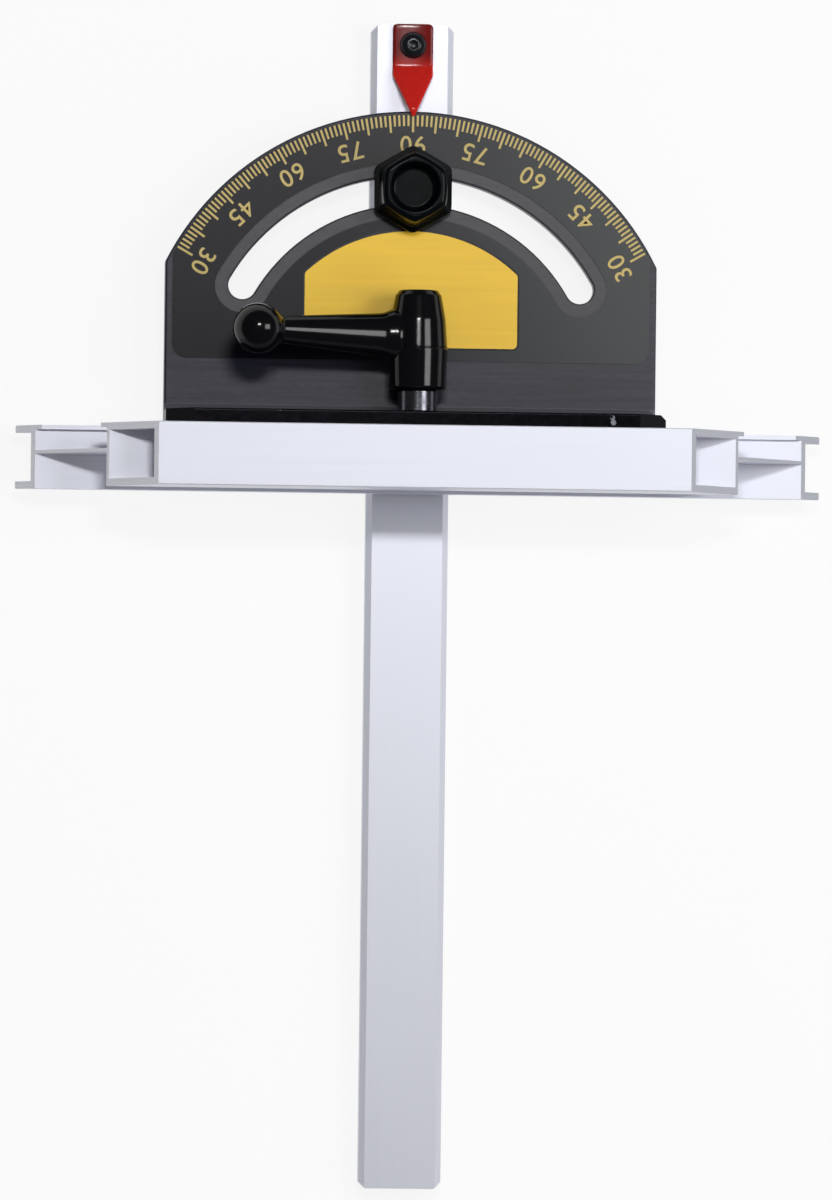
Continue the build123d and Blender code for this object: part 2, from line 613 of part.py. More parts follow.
def lever_arm():
    """Tapering arm with its ball, rising to the left of the hub."""
    rise = math.radians(LEVER_RISE)
    foot = Vector(LEVER_OFFSET, LEVER_ARM_FROM_PIVOT, CLAMP_Z)
    reach = Vector(-LEVER_LENGTH * math.cos(rise), 0, LEVER_LENGTH * math.sin(rise))
    drift = Vector(0, LEVER_BALL_FROM_PIVOT - LEVER_ARM_FROM_PIVOT, 0)
    ball = foot + reach + drift
    along = (reach + drift).normalized()
    near = Plane(origin=foot, x_dir=(0, 1, 0), z_dir=along)
    far = Plane(origin=ball, x_dir=(0, 1, 0), z_dir=along)
    root = near * Ellipse(LEVER_ARM_ROOT_WIDTH / 2, LEVER_ARM_ROOT_HEIGHT / 2)
    tip = far * Ellipse(LEVER_ARM_TIP_RADIUS, LEVER_ARM_TIP_RADIUS * 0.98)
    return loft([root, tip]) + far * Sphere(LEVER_BALL_RADIUS)


def make_lever_handle():
    """Moulded handle: hub, arm and ball in one piece, serrated inside."""
    handle = hub_body() + lever_arm()
    bore = SERRATION_ROOT_RADIUS + SERRATION_DEPTH + SERRATION_GAP
    root = SERRATION_ROOT_RADIUS + SERRATION_GAP
    handle -= spindle(bore, HUB_FOOT, SERRATION_PLACE)
    handle -= serrated_spindle(root, bore, SERRATION_PLACE, INSERT_END)
    handle -= spindle(bore, INSERT_END, WEB_START)
    handle -= spindle(LEVER_SCREW_RADIUS + LEVER_SCREW_HOLE_CLEARANCE, WEB_START, WEB_END)
    return handle - spindle(LEVER_POCKET_RADIUS, WEB_END, HUB_FOOT + HUB_LENGTH)


NODES = {
    "guide_bar": make_guide_bar,
    "quadrant_head": make_quadrant_head,
    "scale_decal": make_scale_decal,
    "yellow_panel": make_yellow_panel,
    "pivot_bush": make_pivot_bush,
    "pivot_washer": make_pivot_washer,
    "pivot_screw": make_pivot_screw,
    "clamp_stud": make_clamp_stud,
    "clamp_washer": make_clamp_washer,
    "clamp_knob": make_clamp_knob,
    "knob_insert": make_knob_insert,
    "pointer": make_pointer,
    "pointer_screw": make_pointer_screw,
    "fence_extrusion": make_fence_extrusion,
    "slot_nut": make_slot_nut,
    "lever_stud": make_lever_stud,
    "lever_insert": make_lever_insert,
    "lever_screw": make_lever_screw,
    "lever_spring": make_lever_spring,
    "lever_handle": make_lever_handle,
}

os.makedirs("parts", exist_ok=True)
for name, make in NODES.items():
    export_step(make(), f"parts/{name}.step")
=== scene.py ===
"""Looks of a table saw's mitre gauge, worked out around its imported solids.

Shapes are written in millimetres and put into Blender in metres. X runs across the guide bar,
Y along it to the end with the pointer, and Z up from the bar's underside.
"""

import logging
import math
from collections.abc import Sequence
from dataclasses import dataclass
from enum import Enum

import bmesh
import bpy
import numpy as np
from mathutils import Matrix, Vector


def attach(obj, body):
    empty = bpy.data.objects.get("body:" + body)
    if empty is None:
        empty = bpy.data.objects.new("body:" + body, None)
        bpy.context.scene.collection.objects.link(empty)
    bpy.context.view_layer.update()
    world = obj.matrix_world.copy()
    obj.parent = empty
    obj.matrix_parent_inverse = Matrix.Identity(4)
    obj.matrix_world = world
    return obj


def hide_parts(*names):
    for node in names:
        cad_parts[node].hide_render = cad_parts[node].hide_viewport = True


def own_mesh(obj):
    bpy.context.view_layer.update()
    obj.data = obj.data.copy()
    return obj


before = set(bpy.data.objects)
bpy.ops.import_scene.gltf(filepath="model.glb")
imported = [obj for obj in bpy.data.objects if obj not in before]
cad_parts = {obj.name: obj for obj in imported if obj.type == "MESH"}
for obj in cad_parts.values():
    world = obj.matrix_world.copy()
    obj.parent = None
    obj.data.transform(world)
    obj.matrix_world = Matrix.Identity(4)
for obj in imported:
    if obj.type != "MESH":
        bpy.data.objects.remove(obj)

LOG = logging.getLogger("mitre_gauge")
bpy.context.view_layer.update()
MM = 0.001
Array = np.ndarray
Faces = list[Sequence[int]]
Span = tuple[float, float]
Triple = tuple[float, float, float]

# An axis that stands upright and one that runs along the bar, each with X at its side.
UPRIGHT: tuple[Triple, Triple] = ((0.0, 0.0, 1.0), (1.0, 0.0, 0.0))
ALONG_BAR: tuple[Triple, Triple] = ((0.0, 1.0, 0.0), (1.0, 0.0, 0.0))

# Flat kept beside a rounded corner, in millimetres.
FLAT_STRIP = 0.03
# What counts as a straight corner, in radians, and as no length at all.
STRAIGHT = 1e-6
NOTHING = 1e-9
# Points closer than this are one, and edges shorter than this go, in metres.
WELD = 1e-7
SLIVER = 1e-8


# Surfaces


@dataclass(frozen=True)
class Shell:
    """A surface as points in millimetres and the faces between them."""

    points: Array
    faces: Faces


@dataclass(frozen=True)
class Stand:
    """An axis with a side direction, on which a turned or carried shape is set out."""

    origin: Triple
    along: Triple
    side: Triple

    def set_out(self, along: Array, side: Array, up: Array) -> Array:
        """Gives points in the gauge's frame.

        A point is the origin plus each direction times its distance, where the third direction is
        the cross product of the other two.

        Args:
            along: distances along the axis.
            side: distances along the side direction.
            up: distances along the third direction.

        Returns:
            Points with the shape of the distances and three coordinates.
        """
        axis = np.array(self.along)
        across = np.array(self.side)
        third = np.cross(axis, across)
        parts = (along[..., None] * axis, side[..., None] * across, up[..., None] * third)
        return np.array(self.origin) + parts[0] + parts[1] + parts[2]


def grid(points: Array, loop_rows: bool = False) -> Shell:
    """Joins rows of points into quads, with each row closed on itself.

    Args:
        points: rows by columns by three coordinates.
        loop_rows: whether the last row is joined to the first.

    Returns:
        The surface between the rows.
    """
    rows, columns = points.shape[:2]
    index = np.arange(rows * columns).reshape(rows, columns)
    following = np.roll(index, -1, axis=0)
    if not loop_rows:
        index, following = index[:-1], following[:-1]
    corners = (index, np.roll(index, -1, axis=1), np.roll(following, -1, axis=1), following)
    quads = np.stack(corners, axis=-1).reshape(-1, 4)
    return Shell(points.reshape(-1, 3), quads.tolist())


def tube(points: Array) -> Shell:
    """Joins rows of points into a tube and closes its ends on the middle of the end rows."""
    columns = points.shape[1]
    first = np.repeat(points[:1].mean(axis=1, keepdims=True), columns, axis=1)
    last = np.repeat(points[-1:].mean(axis=1, keepdims=True), columns, axis=1)
    return grid(np.concatenate((first, points, last)))


def join(shells: list[Shell]) -> Shell:
    """Puts several surfaces into one, with the face numbers moved on."""
    points: list[Array] = []
    faces: Faces = []
    count = 0
    for shell in shells:
        faces += [tuple(i + count for i in face) for face in shell.faces]
        points.append(shell.points)
        count += len(shell.points)
    return Shell(np.concatenate(points), faces)


def lifted(plan: Array, level: float) -> Array:
    """Puts the points of a plan at a level."""
    return np.column_stack((plan, np.full(len(plan), level)))


def rounded(corners: Array, radii: Array, steps: int, closed: bool) -> Array:
    """Rounds the corners of a profile.

    With unit directions a and b from a corner to its neighbours and h half the angle between
    them, the arc's centre is the corner plus the unit direction of a + b times r / sin h, and the
    arc runs between the corner plus a times r / tan h and the same with b, turning evenly. One
    more point just outside each end of the arc keeps the flats beside it flat in their shading.

    Args:
        corners: the profile's corners, one row each.
        radii: the radius at each corner, 0 for a sharp one.
        steps: points on each arc.
        closed: whether the last corner is joined to the first. The ends of an open one stay sharp.

    Returns:
        The points of all arcs in order, two more than the steps for each corner.
    """
    before = np.roll(corners, 1, axis=0) - corners
    after = np.roll(corners, -1, axis=0) - corners
    if not closed:
        before[0], after[-1] = -after[0], -before[-1]
    a = before / np.linalg.norm(before, axis=1, keepdims=True)
    b = after / np.linalg.norm(after, axis=1, keepdims=True)
    half = np.arccos(np.clip((a * b).sum(axis=1), -1.0, 1.0)) / 2
    straight = half > math.pi / 2 - STRAIGHT
    safe = np.where(straight, math.pi / 4, half)
    reach = np.where(straight, 0.0, radii)[:, None]
    middle = a + b
    middle /= np.maximum(np.linalg.norm(middle, axis=1, keepdims=True), NOTHING)
    centre = corners + middle * reach / np.sin(safe)[:, None]
    start = corners + a * reach / np.tan(safe)[:, None] - centre
    end = corners + b * reach / np.tan(safe)[:, None] - centre
    turn = (math.pi - 2 * safe)[:, None, None]
    share = np.linspace(0.0, 1.0, steps)[None, :, None]
    arc = np.sin((1 - share) * turn) * start[:, None] + np.sin(share * turn) * end[:, None]
    arc = centre[:, None] + arc / np.sin(turn)
    outside = (arc[:, :1] + a[:, None] * FLAT_STRIP, arc, arc[:, -1:] + b[:, None] * FLAT_STRIP)
    return np.concatenate(outside, axis=1).reshape(-1, corners.shape[1])


def hexagon(angle: Array, sharpness: float) -> Array:
    """Distance from the axis to a hexagon with soft corners, over half its width across flats.

    It is the sum of the cosines from the three side directions, each to a high power, to the
    power of minus one over that power. The corners point to the front and the rear.
    """
    spokes = angle[:, None] - np.radians((0.0, 60.0, 120.0))
    return (np.abs(np.cos(spokes)) ** sharpness).sum(axis=1) ** (-1 / sharpness)


def turned(
    stand: Stand, profile: Array, hexagonal: Array, columns: int, sharpness: float = 19.0
) -> Array:
    """Turns a profile about an axis, with some rows hexagonal.

    A row's outline is its distance times a mix of 1, a circle, and the soft hexagon.

    Args:
        stand: the axis.
        profile: distance from the axis and place along it, one row each.
        hexagonal: each row's share of the hexagon, from 0 to 1.
        columns: points round the axis.
        sharpness: how sharp the hexagon's corners are.

    Returns:
        Rows by columns by three coordinates.
    """
    angle = np.arange(columns) * 2 * math.pi / columns
    shape = 1 + hexagonal[:, None] * (hexagon(angle, sharpness) - 1)[None, :]
    radius = profile[:, :1] * shape
    along = np.repeat(profile[:, 1:2], columns, axis=1)
    return stand.set_out(along, radius * np.cos(angle), radius * np.sin(angle))


def put(name: str, shell: Shell, smooth_below: float = 40.0) -> bpy.types.Object:
    """Makes a Blender object of a surface, in metres, with its normals outwards.

    Args:
        name: the piece's name.
        shell: its surface.
        smooth_below: edges with a smaller angle between their faces, in degrees, are smooth.

    Returns:
        The object, at the origin.
    """
    mesh = bpy.data.meshes.new(name)
    mesh.from_pydata((shell.points * MM).tolist(), [], shell.faces)
    work = bmesh.new()
    work.from_mesh(mesh)
    bmesh.ops.remove_doubles(work, verts=work.verts, dist=WELD)
    bmesh.ops.dissolve_degenerate(work, edges=work.edges, dist=SLIVER)
    bmesh.ops.recalc_face_normals(work, faces=work.faces)
    work.to_mesh(mesh)
    work.free()
    mesh.shade_smooth()
    mesh.set_sharp_from_angle(angle=math.radians(smooth_below))
    piece = bpy.data.objects.new(name, mesh)
    bpy.context.scene.collection.objects.link(piece)
    return piece


# Material nodes


class Grain(Enum):
    """A noise's number of waves a metre along each axis, and its detail."""

    LINES_ACROSS = ((9.0, 1500.0, 1500.0), 3.0)
    LINES_ALONG = ((1500.0, 9.0, 1500.0), 3.0)
    HANDLING = ((14.0, 14.0, 14.0), 2.0)
    SAW_MARKS = ((60.0, 2600.0, 60.0), 3.0)
    PAINT_PEEL = ((420.0, 420.0, 420.0), 3.0)
    PAINT_RUBS = ((22.0, 640.0, 90.0), 4.0)
    PAINT_FLAKES = ((1100.0, 700.0, 700.0), 3.0)
    FOIL_TOOTH = ((1600.0, 1600.0, 1600.0), 2.0)
    FOIL_RUBS = ((18.0, 420.0, 18.0), 4.0)
    RIPPLE = ((160.0, 160.0, 160.0), 2.0)
    DUST = ((1200.0, 1200.0, 1200.0), 3.0)
    WOBBLE = ((70.0, 70.0, 70.0), 2.0)
    STAIN = ((200.0, 200.0, 200.0), 4.0)


class Signal:
    """A number socket of a material that takes part in Python arithmetic."""

    def __init__(self, graph: "Graph", socket: bpy.types.NodeSocket) -> None:
        """Keeps the socket and the graph that it belongs to."""
        self.graph = graph
        self.socket = socket

    def _math(self, operation: str, *values: "Signal | float") -> "Signal":
        """Adds a Math node on these values and gives its result."""
        node = self.graph.add("ShaderNodeMath", {"operation": operation}, dict(enumerate(values)))
        return Signal(self.graph, node.outputs[0])

    def __add__(self, other: "Signal | float") -> "Signal":
        """This plus the other."""
        return self._math("ADD", self, other)

    __radd__ = __add__

    def __sub__(self, other: "Signal | float") -> "Signal":
        """This minus the other."""
        return self._math("SUBTRACT", self, other)

    def __rsub__(self, other: "Signal | float") -> "Signal":
        """The other minus this."""
        return self._math("SUBTRACT", other, self)

    def __mul__(self, other: "Signal | float") -> "Signal":
        """This times the other."""
        return self._math("MULTIPLY", self, other)

    __rmul__ = __mul__

    def __abs__(self) -> "Signal":
        """This without its sign."""
        return self._math("ABSOLUTE", self)

    def root(self) -> "Signal":
        """The square root of this."""
        return self._math("SQRT", self)

    def wave(self) -> "Signal":
        """The sine of this, in radians."""
        return self._math("SINE", self)

    def most(self, other: "Signal | float") -> "Signal":
        """The larger of this and the other."""
        return self._math("MAXIMUM", self, other)

    def step(self, low: float, high: float) -> "Signal":
        """Runs smoothly from 0 where this is at low to 1 where it is at high."""
        values = {"Value": self, "From Min": low, "From Max": high}
        settings = {"interpolation_type": "SMOOTHSTEP"}
        node = self.graph.add("ShaderNodeMapRange", settings, values)
        return Signal(self.graph, node.outputs[0])

    def rise(self, places: Span) -> "Signal":
        """Runs smoothly from 0 to 1 between two places, given in millimetres."""
        return self.step(places[0] * MM, places[1] * MM)


class Graph:
    """The nodes of one material, with a Principled shader on its output."""

    def __init__(self, name: str) -> None:
        """Starts an empty material of that name."""
        self.material = bpy.data.materials.new(name)
        self.material.use_nodes = True
        self.tree = self.material.node_tree
        self.tree.nodes.clear()
        self.output = self.add("ShaderNodeOutputMaterial")
        self.shader = self.add("ShaderNodeBsdfPrincipled")
        self.tree.links.new(self.shader.outputs[0], self.output.inputs["Surface"])

    def add(
        self, kind: str, settings: dict | None = None, values: dict | None = None
    ) -> bpy.types.Node:
        """Adds a node.

        Args:
            kind: the node's type.
            settings: its properties, set before its sockets.
            values: its sockets by name or number, each a number, a colour, a vector or a link.

        Returns:
            The node.
        """
        node = self.tree.nodes.new(kind)
        for key, value in (settings or {}).items():
            setattr(node, key, value)
        for key, value in (values or {}).items():
            self.feed(node, key, value)
        return node

    def feed(self, node: bpy.types.Node, key: str | int, value: object) -> None:
        """Gives a node's socket a value, or links it to a signal or another socket."""
        socket = node.inputs[key]
        if isinstance(value, Signal):
            self.tree.links.new(value.socket, socket)
        elif isinstance(value, bpy.types.NodeSocket):
            self.tree.links.new(value, socket)
        elif isinstance(value, tuple) and socket.type == "RGBA":
            socket.default_value = (*value, 1.0)
        else:
            socket.default_value = value

    def place(self) -> bpy.types.NodeSocket:
        """Place on the piece, in metres."""
        return self.add("ShaderNodeTexCoord").outputs["Object"]

    def coordinates(self) -> tuple[Signal, Signal, Signal]:
        """Place on the piece along each axis, in metres."""
        split = self.add("ShaderNodeSeparateXYZ", values={0: self.place()})
        return tuple(Signal(self, socket) for socket in split.outputs)

    def noise(self, grain: Grain) -> Signal:
        """Soft noise from 0 to 1."""
        waves, detail = grain.value
        mapped = self.add("ShaderNodeMapping", values={"Vector": self.place(), "Scale": waves})
        values = {"Vector": mapped.outputs[0], "Scale": 1.0, "Detail": detail}
        return Signal(self, self.add("ShaderNodeTexNoise", values=values).outputs[0])

    def nearness(self, spot: Triple, radius: float, core: float = 0.6) -> Signal:
        """Tells how near the surface is to a spot.

        Args:
            spot: the spot's middle, in millimetres.
            radius: where the result falls to 0, in millimetres from the middle.
            core: the share of the radius inside which it is 1.

        Returns:
            A number from 0 to 1.
        """
        centre = tuple(x * MM for x in spot)
        values = {0: self.place(), 1: centre}
        away = self.add("ShaderNodeVectorMath", {"operation": "DISTANCE"}, values)
        return 1 - Signal(self, away.outputs["Value"]).rise((radius * core, radius))

    def blend(self, share: Signal, low: object, high: object) -> bpy.types.NodeSocket:
        """Mixes two colours, each a triple or a socket."""
        node = self.add("ShaderNodeMix", {"data_type": "RGBA"}, {0: share, 6: low, 7: high})
        return node.outputs[2]

    def emboss(self, height: Signal, depth: float) -> None:
        """Lets a height from 0 to 1 push the surface in and out by a depth in millimetres."""
        values = {"Height": height, "Distance": depth * MM, "Strength": 1.0}
        bump = self.add("ShaderNodeBump", values=values)
        self.feed(self.shader, "Normal", bump.outputs[0])


# Finishes

# A pale painted sheen for the lamp on the head's right, and where across the head it starts
# and is strongest, in millimetres.
PAINTED_SHEEN_COLOUR = (0.11, 0.115, 0.115)
PAINTED_SHEEN_REACH = (-45.0, 105.0)


@dataclass(frozen=True)
class Finish:
    """A finish of one colour and roughness, which its subclasses vary over the surface.

    In their fields a swing is what a noise adds to the roughness at most, a middle is what the
    swings add on the whole and is taken off again, a depth is in millimetres, shades are factors
    on the colour, limits are the part of a noise that counts, and a span of places is where a
    change starts and ends, in millimetres.
    """

    name: str
    colour: Triple
    roughness: float
    metallic: float = 0.0
    specular: float = 0.5

    def material(self) -> bpy.types.Material:
        """Builds the material."""
        graph = Graph(self.name)
        for key, value in (
            ("Base Color", self.colour),
            ("Roughness", self.roughness),
            ("Metallic", self.metallic),
            ("Specular IOR Level", self.specular),
        ):
            graph.feed(graph.shader, key, value)
        self.vary(graph)
        return graph.material

    def shade(self, factor: float) -> Triple:
        """The finish's colour, darker or lighter by a factor."""
        return tuple(min(1.0, c * factor) for c in self.colour)

    def with_painted_sheen(self, graph: Graph, colour: object, share: float) -> bpy.types.NodeSocket:
        """Mixes a pale painted sheen into a colour, from none on the head's left to a share on its
        right.
        """
        x, _, _ = graph.coordinates()
        return graph.blend(x.rise(PAINTED_SHEEN_REACH) * share, colour, PAINTED_SHEEN_COLOUR)

    def vary(self, graph: Graph) -> None:
        """Varies the finish over the surface, in each subclass's own way."""
        raise NotImplementedError


@dataclass(frozen=True)
class Anodised(Finish):
    """Drawn aluminium, clear anodised, with fine die lines along it and faint handling marks."""

    lines: Grain = Grain.LINES_ACROSS
    line_swing: float = 0.10
    cloud_swing: float = 0.06
    shades: Span = (0.94, 1.04)
    depth: float = 0.006
    sawn_reach: float = 0.0
    sawn_middle: float = 0.0
    sawn_edge: Span = (0.12, 0.05)
    # The sawn ends' shades hold painted light: the left end lighter, the right one darker.
    painted_light_sides: Span = (-20.0, 20.0)
    sawn_shades_with_painted_light: Span = (1.05, 0.64)
    sawn_contrast: float = 1.2
    sawn_dullness: float = 0.16
    sawn_height: float = 4.0

    def vary(self, graph: Graph) -> None:
        """Adds die lines, cloudy patches and, on a fence, the duller sawn ends.

        A fence's ends are cut at 45 degrees, so they lie where the distance from the fence's
        middle plus the height comes to one reach. The left end is painted lighter than the right
        one: painted light for how differently the lamps fall on the two ends.
        """
        lines = graph.noise(self.lines)
        cloud = graph.noise(Grain.HANDLING)
        middle = (self.line_swing + self.cloud_swing) / 2
        roughness = lines * self.line_swing + cloud * self.cloud_swing + (self.roughness - middle)
        colour = graph.blend(lines * 0.5 + cloud * 0.5, *(self.shade(f) for f in self.shades))
        height = lines
        if self.sawn_reach:
            x, _, z = graph.coordinates()
            reach = abs(x - self.sawn_middle * MM) + z
            sawn = reach.rise(tuple(self.sawn_reach - edge for edge in self.sawn_edge))
            marks = graph.noise(Grain.SAW_MARKS)
            # Painted light: the left sawn end is painted lighter and the right one darker, for how
            # the lamps fall on each end.
            left, right = (
                graph.blend(marks, self.shade(f), self.shade(f * self.sawn_contrast))
                for f in self.sawn_shades_with_painted_light
            )
            sawn_painted_light = graph.blend(x.rise(self.painted_light_sides), left, right)
            colour = graph.blend(sawn, colour, sawn_painted_light)
            roughness = roughness + sawn * self.sawn_dullness
            height = lines + sawn * marks * self.sawn_height
        graph.feed(graph.shader, "Base Color", colour)
        graph.feed(graph.shader, "Roughness", roughness)
        graph.emboss(height, self.depth)


@dataclass(frozen=True)
class CastPaint(Finish):
    """Satin paint on a casting, rubbed round its slot, with painted light on its root and crest."""

    rub_limits: Span = (0.3, 0.75)
    rub_shades: Span = (0.72, 1.5)
    peel_swing: float = 0.14
    peel_depth: float = 0.035
    painted_sheen: float = 0.17
    land_middle: float = 71.2
    land_half: float = 10.0
    land_core: float = 0.94
    land_front: Span = (16.0, 18.0)
    land_colour: Triple = (0.042, 0.041, 0.051)
    # The root is painted lighter, a painted highlight, and the crest painted dark, painted shade.
    root_rear: Span = (-8.1, -7.6)
    root_foot: Span = (16.5, 17.0)
    root_head: Span = (19.8, 20.8)
    root_painted_highlight: Triple = (0.080, 0.080, 0.100)
    crest: Span = (20.5, 21.5)
    crest_painted_shade: float = 0.15
    crest_metallic: float = 0.8
    crest_top: Span = (34.4, 36.4)
    crest_roughness: float = 0.22
    chips: tuple[tuple[Triple, float], ...] = (
        ((72.2, -12.4, 46.0), 1.1),
        ((72.6, -14.2, 46.0), 1.2),
        ((-48.6, -11.6, 45.6), 0.5),
        ((-14.5, -11.6, 45.6), 0.45),
    )
    flake_limits: Span = (0.38, 0.50)
    bare: Triple = (0.34, 0.35, 0.40)

    def vary(self, graph: Graph) -> None:
        """Adds the peel, rub marks along the width, the land, the root, the crest and the chips.

        The land is a band round the pivot's axis: its distance from the axis, less the band's
        middle, is below the band's half width. The flange's sloping root is painted lighter, a
        painted highlight for the rear lamp that it faces. The flange's crest is painted dark, as
        painted shade, and is partly metallic, which keeps it an even black, and shinier near its
        top. The paint is paler towards the head's right, a painted sheen for the lamp there.
        """
        x, y, z = graph.coordinates()
        peel = graph.noise(Grain.PAINT_PEEL)
        rubs = graph.noise(Grain.PAINT_RUBS).step(*self.rub_limits)
        colour = graph.blend(rubs, *(self.shade(f) for f in self.rub_shades))
        away = abs((x * x + y * y).root() - self.land_middle * MM)
        on_land = 1 - away.rise((self.land_half * self.land_core, self.land_half))
        colour = graph.blend(on_land * y.rise(self.land_front), colour, self.land_colour)
        # Painted highlight: the flange's sloping root is painted lighter, where it faces the rear
        # lamp.
        on_painted_root_highlight = (1 - y.rise(self.root_rear)) * z.rise(self.root_foot)
        on_painted_root_highlight = on_painted_root_highlight * (1 - z.rise(self.root_head))
        colour = graph.blend(on_painted_root_highlight, colour, self.root_painted_highlight)
        # Painted sheen: the paint is paler towards the head's right, for the lamp there.
        colour = self.with_painted_sheen(graph, colour, self.painted_sheen)
        # Painted shade: the flange's crest is painted dark.
        on_painted_dark_crest = z.rise(self.crest)
        colour = graph.blend(on_painted_dark_crest, colour, self.shade(self.crest_painted_shade))
        flakes = graph.noise(Grain.PAINT_FLAKES).step(*self.flake_limits)
        for spot, radius in self.chips:
            colour = graph.blend(graph.nearness(spot, radius) * flakes, colour, self.bare)
        roughness = peel * self.peel_swing + (self.roughness - self.peel_swing / 2)
        shine = z.rise(self.crest_top) * (self.crest_roughness - self.roughness)
        graph.feed(graph.shader, "Base Color", colour)
        graph.feed(graph.shader, "Roughness", roughness + shine)
        graph.feed(graph.shader, "Metallic", on_painted_dark_crest * self.crest_metallic)
        graph.emboss(peel, self.peel_depth)


@dataclass(frozen=True)
class Foil(Finish):
    """Printed foil with a fine grain and rub marks along the gauge's width."""

    painted_sheen: float = 0.0
    rub_limits: Span = (0.35, 0.8)
    rub_shades: Span = (0.97, 1.05)
    swing: float = 0.05
    depth: float = 0.006

    def vary(self, graph: Graph) -> None:
        """Adds the grain, the rub marks and the painted sheen towards the head's right."""
        tooth = graph.noise(Grain.FOIL_TOOTH)
        rubs = graph.noise(Grain.FOIL_RUBS)
        shades = (self.shade(f) for f in self.rub_shades)
        colour = graph.blend(rubs.step(*self.rub_limits), *shades)
        roughness = rubs * self.swing + tooth * self.swing + (self.roughness - self.swing)
        # Painted sheen: the foil is paler towards the head's right, for the lamp there.
        graph.feed(graph.shader, "Base Color", self.with_painted_sheen(graph, colour, self.painted_sheen))
        graph.feed(graph.shader, "Roughness", roughness)
        graph.emboss(tooth, self.depth)


@dataclass(frozen=True)
class Moulded(Finish):
    """Glossy moulded plastic or thick paint, with a long faint ripple and dust."""

    dust_limits: Span = (0.55, 0.8)
    dust_shade: float = 1.5
    dust_swing: float = 0.04
    ripple_swing: float = 0.03
    middle: float = 0.02
    depth: float = 0.02
    darker_span: Span | None = None
    darker_shade: float = 1.0

    def vary(self, graph: Graph) -> None:
        """Adds the ripple, the dust and, on the pointer, the darker end over the bar."""
        ripple = graph.noise(Grain.RIPPLE)
        dust = graph.noise(Grain.DUST).step(*self.dust_limits)
        colour = graph.blend(dust, self.colour, self.shade(self.dust_shade))
        # On the pointer the colour is darker towards its rear end, over the bar.
        if self.darker_span:
            _, y, _ = graph.coordinates()
            colour = graph.blend(y.rise(self.darker_span), colour, self.shade(self.darker_shade))
        swing = dust * self.dust_swing + ripple * self.ripple_swing
        graph.feed(graph.shader, "Base Color", colour)
        graph.feed(graph.shader, "Roughness", swing + (self.roughness - self.middle))
        graph.emboss(ripple, self.depth)


@dataclass(frozen=True)
class TurnedSteel(Finish):
    """Turned steel, with fine lines across Y, which are rings on the lever's fittings."""

    ring_radians: float = 9000.0
    ring_wobble: float = 5.0
    ring_swing: float = 0.05
    stain_limits: Span = (0.45, 0.8)
    stain_shade: float = 0.8
    stain_swing: float = 0.12
    middle: float = 0.03
    depth: float = 0.004

    def vary(self, graph: Graph) -> None:
        """Adds the rings and slight staining.

        The rings are the sine of the place along Y times their radians a metre, plus a wobble.
        """
        _, y, _ = graph.coordinates()
        wobble = graph.noise(Grain.WOBBLE) * self.ring_wobble
        rings = (y * self.ring_radians + wobble).wave() * 0.5 + 0.5
        stain = graph.noise(Grain.STAIN).step(*self.stain_limits)
        swing = stain * self.stain_swing + rings * self.ring_swing
        colour = graph.blend(stain, self.colour, self.shade(self.stain_shade))
        graph.feed(graph.shader, "Base Color", colour)
        graph.feed(graph.shader, "Roughness", swing + (self.roughness - self.middle))
        graph.emboss(rings, self.depth)


ALUMINIUM = (0.76, 0.775, 0.86)
BAR_FINISH = Anodised("anodised_bar", ALUMINIUM, 0.46, 0.55, lines=Grain.LINES_ALONG)
FENCE_FINISH = Anodised(
    "anodised_fence", ALUMINIUM, 0.50, 0.55, sawn_reach=157.8, sawn_middle=3.5
)
# The casting and the foils are painted paler towards the head's right, a painted sheen.
CASTING_FINISH = CastPaint("cast_paint", (0.012, 0.0115, 0.026), 0.38, specular=0.38)
CHARCOAL_FOIL = Foil("charcoal_foil", (0.002, 0.002, 0.006), 0.32, specular=0.20, painted_sheen=0.62)
YELLOW_FOIL = Foil("yellow_foil", (0.95, 0.60, 0.04), 0.42, specular=0.3, painted_sheen=0.12)
SCALE_INK = Foil("scale_ink", (0.58, 0.44, 0.13), 0.45)
PRINT_BLACK = Foil("print_black", (0.004, 0.004, 0.006), 0.20)
GLOSS_BLACK = Moulded("gloss_black", (0.003, 0.003, 0.004), 0.13, specular=0.3)
KNOB_BLACK = Moulded("knob_black", (0.002, 0.003, 0.004), 0.20, specular=0.08)
POINTER_RED = Moulded(
    "pointer_red", (0.58, 0.018, 0.013), 0.15, specular=0.30, darker_span=(114.0, 122.0), darker_shade=0.28
)
NYLON = Moulded("slip_washer_nylon", (0.78, 0.76, 0.70), 0.45)
BLACK_STEEL = TurnedSteel("black_steel", (0.020, 0.021, 0.026), 0.24, 0.6)
COLLAR_STEEL = TurnedSteel("collar_steel", (0.12, 0.12, 0.14), 0.22, 0.95)
BRIGHT_STEEL = TurnedSteel("bright_steel", (0.56, 0.56, 0.58), 0.28, 0.95)
BRONZE = TurnedSteel("bush_bronze", (0.55, 0.36, 0.15), 0.35, 0.95)


# Sub-assemblies


def dress(node: str, material: bpy.types.Material) -> None:
    """Gives a solid of the frame its finish."""
    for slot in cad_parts[node].material_slots:
        slot.material = material
    LOG.info("dressed %s in %s", node, material.name)


def fit(
    piece: bpy.types.Object,
    material: bpy.types.Material,
    body: str,
    replaced: tuple[str, ...] = (),
) -> None:
    """Finishes a new piece and lets it ride.

    Args:
        piece: the piece.
        material: its finish.
        body: the body that it moves with.
        replaced: the solids that it stands for.
    """
    piece.data.materials.append(material)
    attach(piece, body)
    if replaced:
        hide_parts(*replaced)
    LOG.info("made %s, %d faces", piece.name, len(piece.data.polygons))


